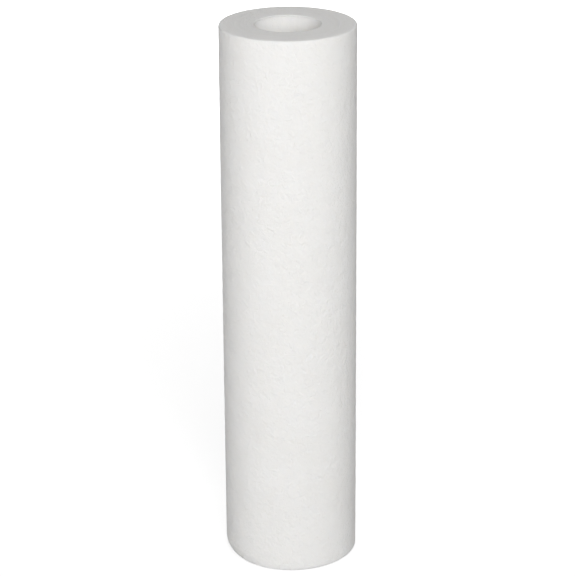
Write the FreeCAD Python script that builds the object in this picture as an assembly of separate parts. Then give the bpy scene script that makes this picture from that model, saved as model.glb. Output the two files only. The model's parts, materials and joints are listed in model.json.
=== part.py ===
import FreeCAD, Part
import math
import os

# Melt-blown sediment filter cartridge, ten inch, open at both ends.
#
# The cartridge is one piece. Molten polypropylene is blown onto a turning mandrel as
# fine fibres, which bond where they cross and build up a thick porous tube that needs
# no core, cage or end caps. The tube is drawn off the mandrel and parted to length, so
# it has a straight bore and two flat ring-shaped ends. A filter housing presses a
# knife edge into each end, and its short spigots enter the bore to centre the
# cartridge. Water goes in through the wall and leaves through the bore.
#
# The parted ends are soft at their rims, outside and at the bore, where the blade and
# handling have rounded the fibre over.
#
# Frame: millimetres, +Z up along the bore, origin at the centre of the lower end.

# Driving dimensions, in millimetres
LENGTH = 254.0
OUTER_DIAMETER = 61.5
BORE_DIAMETER = 29.6
OUTER_RIM_ROUND = 1.0
BORE_RIM_ROUND = 0.8

# The bore's axis, and the angles of a turned section and of a quarter arc's middle
AXIS_POINT = FreeCAD.Vector(0.0, 0.0, 0.0)
AXIS_DIRECTION = FreeCAD.Vector(0.0, 0.0, 1.0)
FULL_TURN_DEG = 360.0
MIDDLE_OF_QUARTER_DEG = 45.0

# Which way a corner of the wall's section faces
OUTWARD = 1
INWARD = -1
UPWARD = 1
DOWNWARD = -1


def section_point(radius, height):
    """A point of the wall's section, which lies in the XZ plane."""
    return FreeCAD.Vector(radius, 0.0, height)


def rounded_corner(radius, height, side, end, rounding):
    """The three points of the quarter arc that rounds one corner of the wall's section.

    radius and height give the sharp corner. side is OUTWARD at the outer surface and
    INWARD at the bore, and end is UPWARD at the top and DOWNWARD at the bottom. The
    arc runs from the wall's side to its end face.
    """
    centre_radius = radius - side * rounding
    centre_height = height - end * rounding
    reach = rounding * math.cos(math.radians(MIDDLE_OF_QUARTER_DEG))
    on_side = section_point(radius, centre_height)
    middle = section_point(centre_radius + side * reach, centre_height + end * reach)
    on_end = section_point(centre_radius, height)
    return on_side, middle, on_end


def wall_section():
    """The closed section of the fibre wall: two straight sides, two flat ends, four rounded rims."""
    outer_radius = OUTER_DIAMETER / 2.0
    bore_radius = BORE_DIAMETER / 2.0
    outer_top = rounded_corner(outer_radius, LENGTH, OUTWARD, UPWARD, OUTER_RIM_ROUND)
    bore_top = rounded_corner(bore_radius, LENGTH, INWARD, UPWARD, BORE_RIM_ROUND)
    bore_bottom = rounded_corner(bore_radius, 0.0, INWARD, DOWNWARD, BORE_RIM_ROUND)
    outer_bottom = rounded_corner(outer_radius, 0.0, OUTWARD, DOWNWARD, OUTER_RIM_ROUND)

    edges = [
        Part.Arc(*outer_top).toShape(),
        Part.LineSegment(outer_top[-1], bore_top[-1]).toShape(),
        Part.Arc(*reversed(bore_top)).toShape(),
        Part.LineSegment(bore_top[0], bore_bottom[0]).toShape(),
        Part.Arc(*bore_bottom).toShape(),
        Part.LineSegment(bore_bottom[-1], outer_bottom[-1]).toShape(),
        Part.Arc(*reversed(outer_bottom)).toShape(),
        Part.LineSegment(outer_bottom[0], outer_top[0]).toShape(),
    ]
    return Part.Face(Part.Wire(edges))


def filter_cartridge():
    """The whole cartridge: its wall's section, turned once round the bore's axis."""
    return wall_section().revolve(AXIS_POINT, AXIS_DIRECTION, FULL_TURN_DEG)


def main():
    """Write the cartridge's STEP file, and print its state, size and volume."""
    os.makedirs("parts", exist_ok=True)
    cartridge = filter_cartridge()
    cartridge.exportStep("parts/filter_cartridge.step")

    box = cartridge.optimalBoundingBox(False, False)
    litres = cartridge.Volume / 1.0e6
    print("filter_cartridge", cartridge.ShapeType, "valid", cartridge.isValid(), "closed", cartridge.isClosed())
    print("size mm", round(box.XLength, 3), round(box.YLength, 3), round(box.ZLength, 3))
    print("volume litres", round(litres, 5))


main()
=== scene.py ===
import bmesh
import bpy
import json
import math
from mathutils import Matrix, Vector, noise


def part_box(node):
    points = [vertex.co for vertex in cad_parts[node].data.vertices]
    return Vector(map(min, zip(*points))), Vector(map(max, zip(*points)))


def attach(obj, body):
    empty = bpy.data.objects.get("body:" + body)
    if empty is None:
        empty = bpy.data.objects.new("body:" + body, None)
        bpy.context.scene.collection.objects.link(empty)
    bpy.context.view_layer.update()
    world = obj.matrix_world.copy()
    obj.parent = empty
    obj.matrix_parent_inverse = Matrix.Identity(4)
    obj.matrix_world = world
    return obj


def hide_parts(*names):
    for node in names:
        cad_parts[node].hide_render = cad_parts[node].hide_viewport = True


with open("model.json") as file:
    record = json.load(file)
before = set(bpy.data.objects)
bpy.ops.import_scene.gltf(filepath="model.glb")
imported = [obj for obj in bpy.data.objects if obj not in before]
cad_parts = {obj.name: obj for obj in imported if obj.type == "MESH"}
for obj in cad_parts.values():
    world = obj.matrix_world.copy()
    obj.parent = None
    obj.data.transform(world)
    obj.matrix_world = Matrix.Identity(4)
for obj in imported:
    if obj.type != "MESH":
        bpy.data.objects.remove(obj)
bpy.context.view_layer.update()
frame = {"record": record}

MM = 0.001
FULL_TURN = 2.0 * math.pi
ORIGIN = (0.0, 0.0, 0.0)
UP = (0.0, 0.0, 1.0)
ACROSS = (1.0, 1.0, 0.0)

# Sizes of the cartridge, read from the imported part
NODE = "filter_cartridge"
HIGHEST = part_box(NODE)[1]
BORE = next(mount for mount in frame["record"]["mounts"] if mount["name"] == "bore")
LENGTH = HIGHEST.z
OUTER_RADIUS = HIGHEST.x
BORE_RADIUS = BORE["dims"]["r_mm"] * MM
BORE_RIM_ROUND = (LENGTH - BORE["dims"]["length_mm"] * MM) / 2.0
OUTER_RIM_ROUND = 1.0 * MM

# How finely the tube's mesh is divided
TURN_STEPS = 256
RIM_STEPS = 5
OUTER_ROW = 0.93 * MM
END_ROW = 0.95 * MM
BORE_ROW = 4.2 * MM

# Relief of the outer surface, where fibre was blown on in clumps and curled tufts
SWELL_SIZE = 36.0 * MM
SWELL_DEPTH = 0.06 * MM
CLUMP_SIZE = 4.6 * MM
CLUMP_DEPTH = 0.10 * MM
TUFT_SIZE = 2.3 * MM
TUFT_DEPTH = 0.16 * MM
TUFT_CURL = 1.0 * MM
CURL_SIZE = 3.6 * MM

# Relief of the parted ends: a low lip near the outer rim, uneven fibre inside it, and a
# gentle droop towards the rim
LIP_INSET = 1.5 * MM
LIP_WIDTH = 0.9 * MM
LIP_HEIGHT = 0.08 * MM
END_LUMP_SIZE = 5.0 * MM
END_LUMP_DEPTH = 0.09 * MM
DROOP_WIDTH = 6.0 * MM
DROOP_DEPTH = 0.12 * MM

# The lower rim's left side, which is pressed in
PRESS_BEARING = math.radians(-70.0)
PRESS_SPREAD = math.radians(32.0)
PRESS_DEPTH = 2.0 * MM
PRESS_HEIGHT = 5.5 * MM

# Relief of the bore, which keeps the mandrel's long faint flutes
FLUTE_SIZE = 2.6 * MM
FLUTE_LENGTH = 60.0 * MM
FLUTE_DEPTH = 0.05 * MM

# The camera, in the photograph's place
CAMERA_STAND_OFF = 1.03912
CAMERA_HEIGHT = 0.52666
CAMERA_TILT_DOWN = math.radians(20.929)
CAMERA_TURN = math.radians(-0.0365)
CAMERA_ROLL = math.radians(-0.382)
FOCAL_LENGTH_PIXELS = 2429.6
FRAME_PIXELS = 576
SENSOR_MM = 36.0

# The studio's lamps and its white backdrop
WHITE = (1.0, 1.0, 1.0, 1.0)
WORLD_LIGHT = 0.1
BACKDROP_LIGHT = 1.0
KEY_DISTANCE = 2.0
KEY_SIDE = 1.0
FILL_DISTANCE = 1.3
FILL_SIDE = 0.8

# The floor, which looks white because it glows for the rays that show it. It glows less
# near the part, so that the part's shadow stays on it.
FLOOR_RADIUS = 14.0
FLOOR_RIM_POINTS = 96
FLOOR_COLOUR = (0.50, 0.50, 0.50, 1.0)
GLOW_NEAR = (0.67, 0.67, 0.67, 1.0)
GLOW_FAR = (0.95, 0.95, 0.95, 1.0)
GLOW_NEAR_UP_TO = 0.3
GLOW_FAR_FROM = 1.3

# The fibre's colours and finish. Light spreads farther round the bore than on the sides,
# because it reaches the bore through the wall.
FIBRE_PALE = (0.888, 0.880, 0.866, 1.0)
FIBRE_DEEP = (0.876, 0.867, 0.850, 1.0)
FIBRE_GLOSS = 0.12
FIBRE_ROUGHNESS = 0.95
SIDE_SPREAD = 4.0 * MM
SIDE_SPREAD_SHARE = 0.45
BORE_SPREAD = 12.0 * MM
BORE_SPREAD_SHARE = 0.65
SPREAD_BY_COLOUR = (1.0, 0.96, 0.90)

# Where the sides' pattern gives way to the ends', as distances from an end, and how far
# into the wall the bore's pattern fades out
END_FADE_NEAR = 0.4 * MM
END_FADE_FAR = 1.2 * MM
BORE_FADE = 1.2 * MM

# The fibre's pattern: clouds of tone and fine strands all over, felted tufts on the sides,
# the wall's layers on the ends and drawing marks along the bore
NOISE_LOW = 0.35
NOISE_MIDDLE = 0.5
NOISE_HIGH = 0.65
CLOUD_SIZE = 24.0 * MM
CLOUD_DETAIL = 3.0
LAYER_SIZE = 2.2 * MM
LAYER_WAVER = 3.0 * MM
LAYER_WAVER_SIZE = 11.0 * MM
RELIEF_DEPTH = 0.52 * MM
FELT_SIZE = 2.2 * MM
FELT_DETAIL = 1.0
FELT_CURL = 0.9
FELT_STRETCH = (1.0, 1.0, 0.9)
FELT_ON_END = 0.5
STREAK_SIZE = 0.9 * MM
STREAK_DETAIL = 1.0
STREAK_STRETCH = (1.0, 1.0, 0.06)
STREAK_RELIEF = 0.3
STRAND_SIZE = 1.1 * MM
STRAND_CURL = 1.6
STRAND_RELIEF = 0.75

# Numbers of the Mix node's colour sockets, whose names its other sockets share
MIX_FACTOR = 0
MIX_FIRST = 6
MIX_SECOND = 7
MIX_RESULT = 2


# Shader graphs

class Socket:
    """One output of a node. Arithmetic on it adds Math nodes, so it is for values."""

    def __init__(self, graph, output):
        self.graph = graph
        self.output = output

    def maths(self, operation, *values):
        """Add a Math node that works on these numbers or links."""
        return self.graph.node("ShaderNodeMath", {"operation": operation}, dict(enumerate(values)))

    def __add__(self, other):
        return self.maths("ADD", self, other)

    def __radd__(self, other):
        return self.maths("ADD", other, self)

    def __sub__(self, other):
        return self.maths("SUBTRACT", self, other)

    def __rsub__(self, other):
        return self.maths("SUBTRACT", other, self)

    def __mul__(self, other):
        return self.maths("MULTIPLY", self, other)

    def __rmul__(self, other):
        return self.maths("MULTIPLY", other, self)

    def __abs__(self):
        return self.maths("ABSOLUTE", self)

    def greatest(self, other):
        """The larger of this value and another."""
        return self.maths("MAXIMUM", self, other)


class Graph:
    """A node tree, and the one way to add a node to it."""

    def __init__(self, tree):
        self.tree = tree
        self.tree.nodes.clear()

    def node(self, kind, settings, sockets, output=0):
        """Add a node, set it up, then give each named or numbered socket its value or link."""
        node = self.tree.nodes.new(kind)
        for name, value in settings.items():
            setattr(node, name, value)
        for name, value in sockets.items():
            if isinstance(value, Socket):
                self.tree.links.new(value.output, node.inputs[name])
            else:
                node.inputs[name].default_value = value
        return Socket(self, node.outputs[output]) if node.outputs else None

    def shown_rays(self):
        """1 for the rays that show the backdrop, straight or in gloss and glass, and 0 for the rest."""
        rays = ("Is Camera Ray", "Is Glossy Ray", "Is Transmission Ray")
        camera, glossy, transmission = (self.node("ShaderNodeLightPath", {}, {}, ray) for ray in rays)
        return camera.greatest(glossy).greatest(transmission)

    def noise(self, place, size, detail=2.0, distortion=0.0):
        """Smooth noise, mostly from 0.3 to 0.7, with lumps about as large as size."""
        sockets = {
            "Vector": place,
            "Scale": 1.0 / size,
            "Detail": detail,
            "Distortion": distortion,
        }
        return self.node("ShaderNodeTexNoise", {}, sockets)

    def ramp(self, value, low, high):
        """A smooth step from 0 at low to 1 at high."""
        sockets = {"Value": value, "From Min": low, "From Max": high}
        return self.node("ShaderNodeMapRange", {"interpolation_type": "SMOOTHSTEP"}, sockets)

    def full_range(self, lumps):
        """Noise that is spread out to run from 0 to 1."""
        return self.ramp(lumps, NOISE_LOW, NOISE_HIGH)

    def length(self, place):
        """How far a place is from the origin."""
        return self.node("ShaderNodeVectorMath", {"operation": "LENGTH"}, {0: place}, "Value")

    def scaled(self, place, factors):
        """A place times one factor along each axis."""
        return self.node("ShaderNodeVectorMath", {"operation": "MULTIPLY"}, {0: place, 1: factors})

    def tint(self, factor, first, second):
        """A colour between two, by factor."""
        sockets = {MIX_FACTOR: factor, MIX_FIRST: first, MIX_SECOND: second}
        return self.node("ShaderNodeMix", {"data_type": "RGBA"}, sockets, MIX_RESULT)


def new_material(name):
    """An empty material and its graph."""
    material = bpy.data.materials.new(name)
    material.use_nodes = True
    return material, Graph(material.node_tree)


def finished_object(name, mesh, material):
    """Make a bmesh an object of the scene, smooth-shaded, with one material."""
    for face in mesh.faces:
        face.smooth = True
    data = bpy.data.meshes.new(name)
    mesh.to_mesh(data)
    mesh.free()
    data.materials.append(material)
    piece = bpy.data.objects.new(name, data)
    bpy.context.scene.collection.objects.link(piece)
    return piece


# Camera

def photograph_camera():
    """The camera that sees the part as the photograph does."""
    forward = Vector((
        math.sin(CAMERA_TURN) * math.cos(CAMERA_TILT_DOWN),
        math.cos(CAMERA_TURN) * math.cos(CAMERA_TILT_DOWN),
        -math.sin(CAMERA_TILT_DOWN),
    ))
    level_right = Vector((math.cos(CAMERA_TURN), -math.sin(CAMERA_TURN), 0.0))
    level_up = level_right.cross(forward)
    right = math.cos(CAMERA_ROLL) * level_right + math.sin(CAMERA_ROLL) * level_up
    up = math.cos(CAMERA_ROLL) * level_up - math.sin(CAMERA_ROLL) * level_right

    data = bpy.data.cameras.new("camera")
    data.sensor_width = SENSOR_MM
    data.lens = FOCAL_LENGTH_PIXELS * SENSOR_MM / FRAME_PIXELS
    data.clip_end = 2.0 * FLOOR_RADIUS
    camera = bpy.data.objects.new("camera", data)
    turned = Matrix((right, up, -forward)).transposed().to_4x4()
    camera.matrix_world = Matrix.Translation((0.0, -CAMERA_STAND_OFF, CAMERA_HEIGHT)) @ turned
    bpy.context.scene.collection.objects.link(camera)
    bpy.context.scene.camera = camera


# Studio

def studio_world():
    """Even light from all round, which the camera sees as white."""
    world = bpy.data.worlds.new("studio")
    world.use_nodes = True
    graph = Graph(world.node_tree)
    light = graph.node("ShaderNodeBackground", {}, {"Color": WHITE, "Strength": WORLD_LIGHT})
    backdrop = graph.node("ShaderNodeBackground", {}, {"Color": WHITE, "Strength": BACKDROP_LIGHT})
    both = graph.node("ShaderNodeMixShader", {}, {0: graph.shown_rays(), 1: light, 2: backdrop})
    graph.node("ShaderNodeOutputWorld", {}, {"Surface": both})
    bpy.context.scene.world = world


def studio_floor():
    """A pale floor that is white to the camera and keeps a faint shadow round the part's foot."""
    material, graph = new_material("studio_floor")
    paper = graph.node("ShaderNodeBsdfDiffuse", {}, {"Color": FLOOR_COLOUR})
    distance = graph.length(graph.node("ShaderNodeTexCoord", {}, {}, "Object"))
    glow_colour = graph.tint(graph.ramp(distance, GLOW_NEAR_UP_TO, GLOW_FAR_FROM), GLOW_NEAR, GLOW_FAR)
    glow = graph.node("ShaderNodeEmission", {}, {"Color": glow_colour, "Strength": graph.shown_rays()})
    both = graph.node("ShaderNodeAddShader", {}, {0: paper, 1: glow})
    graph.node("ShaderNodeOutputMaterial", {}, {"Surface": both})

    mesh = bmesh.new()
    bmesh.ops.create_circle(mesh, cap_ends=True, segments=FLOOR_RIM_POINTS, radius=FLOOR_RADIUS)
    floor = finished_object("floor", mesh, material)


def softbox(name, bearing, elevation, distance, side, power):
    """A soft square lamp that faces the part's middle. Bearing 0 is the camera's side."""
    data = bpy.data.lights.new(name, "AREA")
    data.shape = "SQUARE"
    data.size = side
    data.energy = power
    lamp = bpy.data.objects.new(name, data)
    turn = math.radians(bearing)
    rise = math.radians(elevation)
    outward = Vector((
        math.sin(turn) * math.cos(rise),
        -math.cos(turn) * math.cos(rise),
        math.sin(rise),
    ))
    lamp.location = Vector((0.0, 0.0, LENGTH / 2.0)) + distance * outward
    lamp.rotation_euler = (-outward).to_track_quat("-Z", "Y").to_euler()
    lamp.visible_camera = False
    bpy.context.scene.collection.objects.link(lamp)


def studio_lamps():
    """Two soft keys, above the camera and a little to its right, and fills at the sides and back."""
    softbox("key", bearing=0.0, elevation=25.0, distance=KEY_DISTANCE, side=KEY_SIDE, power=20.5)
    softbox("second_key", bearing=12.0, elevation=25.0, distance=KEY_DISTANCE, side=KEY_SIDE, power=13.8)
    softbox("left_fill", bearing=-84.0, elevation=11.0, distance=FILL_DISTANCE, side=FILL_SIDE, power=3.7)
    softbox("right_fill", bearing=90.0, elevation=42.0, distance=FILL_DISTANCE, side=FILL_SIDE, power=2.1)
    softbox("back_fill", bearing=180.0, elevation=10.0, distance=FILL_DISTANCE, side=FILL_SIDE, power=11.4)


# The tube

def wall_section(mesh):
    """The wall's section in the XZ plane: a closed ring of edges with rounded corners."""
    outer_bottom = mesh.verts.new((OUTER_RADIUS, 0.0, 0.0))
    outer_top = mesh.verts.new((OUTER_RADIUS, 0.0, LENGTH))
    bore_top = mesh.verts.new((BORE_RADIUS, 0.0, LENGTH))
    bore_bottom = mesh.verts.new((BORE_RADIUS, 0.0, 0.0))
    corners = (outer_bottom, outer_top, bore_top, bore_bottom)
    for corner, following in zip(corners, corners[1:] + corners[:1]):
        mesh.edges.new((corner, following))
    round_corners(mesh, [outer_bottom, outer_top], OUTER_RIM_ROUND)
    round_corners(mesh, [bore_top, bore_bottom], BORE_RIM_ROUND)


def round_corners(mesh, corners, rounding):
    """Round these corners of the section by quarter arcs."""
    bmesh.ops.bevel(
        mesh,
        geom=corners,
        offset=rounding,
        segments=RIM_STEPS,
        profile=0.5,
        affect="VERTICES",
        material=-1,
    )


def row_for(edge):
    """How far apart the rows are along one straight side of the section."""
    middle = (edge.verts[0].co + edge.verts[1].co) / 2.0
    if math.isclose(middle.x, OUTER_RADIUS):
        return OUTER_ROW
    if math.isclose(middle.x, BORE_RADIUS):
        return BORE_ROW
    return END_ROW


def turned_tube():
    """The smooth tube, before its surface gets any relief."""
    mesh = bmesh.new()
    wall_section(mesh)
    straight = [edge for edge in mesh.edges if edge.calc_length() > OUTER_RIM_ROUND]
    for edge in straight:
        cuts = round(edge.calc_length() / row_for(edge)) - 1
        bmesh.ops.subdivide_edges(mesh, edges=[edge], cuts=cuts)
    bmesh.ops.spin(
        mesh,
        geom=mesh.verts[:] + mesh.edges[:],
        axis=UP,
        cent=ORIGIN,
        angle=FULL_TURN,
        steps=TURN_STEPS,
        use_merge=True,
    )
    bmesh.ops.recalc_face_normals(mesh, faces=mesh.faces)
    return mesh


def hollow(value, depth):
    """A depth from 0 to about the one given, for noise from 1 to -1."""
    return depth * (1.0 - value) / 2.0


def blown_depth(point):
    """How deep the outer surface lies below its full size at a point."""
    curl = noise.noise_vector(point / CURL_SIZE) * TUFT_CURL
    swell = hollow(noise.noise(point / SWELL_SIZE), SWELL_DEPTH)
    clump = hollow(noise.noise(point / CLUMP_SIZE), CLUMP_DEPTH)
    tuft = hollow(noise.noise((point + curl) / TUFT_SIZE), TUFT_DEPTH)
    return swell + clump + tuft


def end_depth(point):
    """How deep an end face lies below its lip at a point."""
    inset = OUTER_RADIUS - math.hypot(point.x, point.y)
    lip = math.exp(-((inset - LIP_INSET) / LIP_WIDTH) ** 2)
    lump = hollow(noise.noise(point / END_LUMP_SIZE), END_LUMP_DEPTH)
    droop = DROOP_DEPTH * max(0.0, 1.0 - inset / DROOP_WIDTH) ** 2
    return (LIP_HEIGHT + lump) * (1.0 - lip) + droop


def bore_depth(point):
    """How deep the bore's surface lies behind its full size at a point."""
    flute = Vector((point.x / FLUTE_SIZE, point.y / FLUTE_SIZE, point.z / FLUTE_LENGTH))
    return hollow(noise.noise(flute), FLUTE_DEPTH)


def pressed_in(point):
    """How far the pressed side of the lower rim moves a point towards the axis."""
    if point.z > PRESS_HEIGHT:
        return Vector(ORIGIN)
    off_middle = (math.atan2(point.x, -point.y) - PRESS_BEARING) / PRESS_SPREAD
    wall_share = (math.hypot(point.x, point.y) - BORE_RADIUS) / (OUTER_RADIUS - BORE_RADIUS)
    height_share = 1.0 - point.z / PRESS_HEIGHT
    depth = PRESS_DEPTH * math.exp(-off_middle ** 2) * (wall_share * height_share) ** 2
    return -depth * Vector((point.x, point.y, 0.0)).normalized()


def fibre_tube(material):
    """The blown tube: one closed wall, with felted sides, parted ends and a fluted bore."""
    mesh = turned_tube()
    mesh.normal_update()
    moves = []
    for vert in mesh.verts:
        end_share = vert.normal.z ** 2
        outside = vert.normal.x * vert.co.x + vert.normal.y * vert.co.y > 0.0
        side_depth = blown_depth(vert.co) if outside else bore_depth(vert.co)
        depth = end_share * end_depth(vert.co) + (1.0 - end_share) * side_depth
        moves.append((vert, pressed_in(vert.co) - vert.normal * depth))
    for vert, move in moves:
        vert.co += move
    piece = finished_object("fibre_tube", mesh, material)
    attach(piece, "root")
    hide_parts(NODE)


# The fibre

def fibre_surface(graph, colour, normal, spread, spread_share):
    """The fibre's finish: spread_share of the light sinks in, and comes out about spread away."""
    return graph.node(
        "ShaderNodeBsdfPrincipled",
        {},
        {
            "Base Color": colour,
            "Roughness": FIBRE_ROUGHNESS,
            "Specular IOR Level": FIBRE_GLOSS,
            "Subsurface Weight": spread_share,
            "Subsurface Radius": SPREAD_BY_COLOUR,
            "Subsurface Scale": spread,
            "Normal": normal,
        },
    )


def wall_layers(graph, place, radius):
    """Noise in rings round the bore, which waver a little, as the blown layers of the wall do."""
    waver = graph.noise(place, LAYER_WAVER_SIZE) * LAYER_WAVER
    layer_place = graph.node("ShaderNodeCombineXYZ", {}, {0: radius + waver})
    return graph.noise(layer_place, LAYER_SIZE)


def fibre_relief(graph, place, layers, on_end, outside_bore):
    """The relief too fine for the mesh: tufts, layers, drawing marks, and strands over them all."""
    tufts = graph.noise(graph.scaled(place, FELT_STRETCH), FELT_SIZE, FELT_DETAIL, FELT_CURL)
    streaks = graph.noise(graph.scaled(place, STREAK_STRETCH), STREAK_SIZE, STREAK_DETAIL)
    between_strands = abs(graph.noise(place, STRAND_SIZE, distortion=STRAND_CURL) - NOISE_MIDDLE)
    side_relief = tufts * (1.0 - on_end) * outside_bore
    end_relief = (layers + tufts * FELT_ON_END) * on_end
    bore_relief = streaks * (1.0 - outside_bore) * STREAK_RELIEF
    strand_relief = between_strands * STRAND_RELIEF
    return side_relief + end_relief + bore_relief - strand_relief


def blown_fibre():
    """Matt white fibre that light sinks into, faintly cloudy, with fine strands all over.

    The sides are felted with curled tufts, the ends show the layers of the wall as faint
    rings, and the bore shows the mandrel's drawing marks along it.
    """
    material, graph = new_material("blown_fibre")
    place = graph.node("ShaderNodeTexCoord", {}, {}, "Object")
    height = graph.node("ShaderNodeSeparateXYZ", {}, {0: place}, "Z")
    from_middle = abs(height - LENGTH / 2.0)
    on_end = graph.ramp(from_middle, LENGTH / 2.0 - END_FADE_FAR, LENGTH / 2.0 - END_FADE_NEAR)
    radius = graph.length(graph.scaled(place, ACROSS))
    outside_bore = graph.ramp(radius, BORE_RADIUS, BORE_RADIUS + BORE_FADE)

    clouds = graph.noise(place, CLOUD_SIZE, CLOUD_DETAIL)
    layers = wall_layers(graph, place, radius)
    tone = graph.full_range(clouds) * (1.0 - on_end) + graph.full_range(layers) * on_end
    colour = graph.tint(tone, FIBRE_DEEP, FIBRE_PALE)
    relief = fibre_relief(graph, place, layers, on_end, outside_bore)
    normal = graph.node("ShaderNodeBump", {}, {"Strength": 1.0, "Distance": RELIEF_DEPTH, "Height": relief})

    bore = fibre_surface(graph, colour, normal, BORE_SPREAD, BORE_SPREAD_SHARE)
    side = fibre_surface(graph, colour, normal, SIDE_SPREAD, SIDE_SPREAD_SHARE)
    both = graph.node("ShaderNodeMixShader", {}, {0: outside_bore, 1: bore, 2: side})
    graph.node("ShaderNodeOutputMaterial", {}, {"Surface": both})
    return material


photograph_camera()
studio_world()
studio_floor()
studio_lamps()
fibre_tube(blown_fibre())

bpy.context.scene.view_settings.view_transform = "Standard"
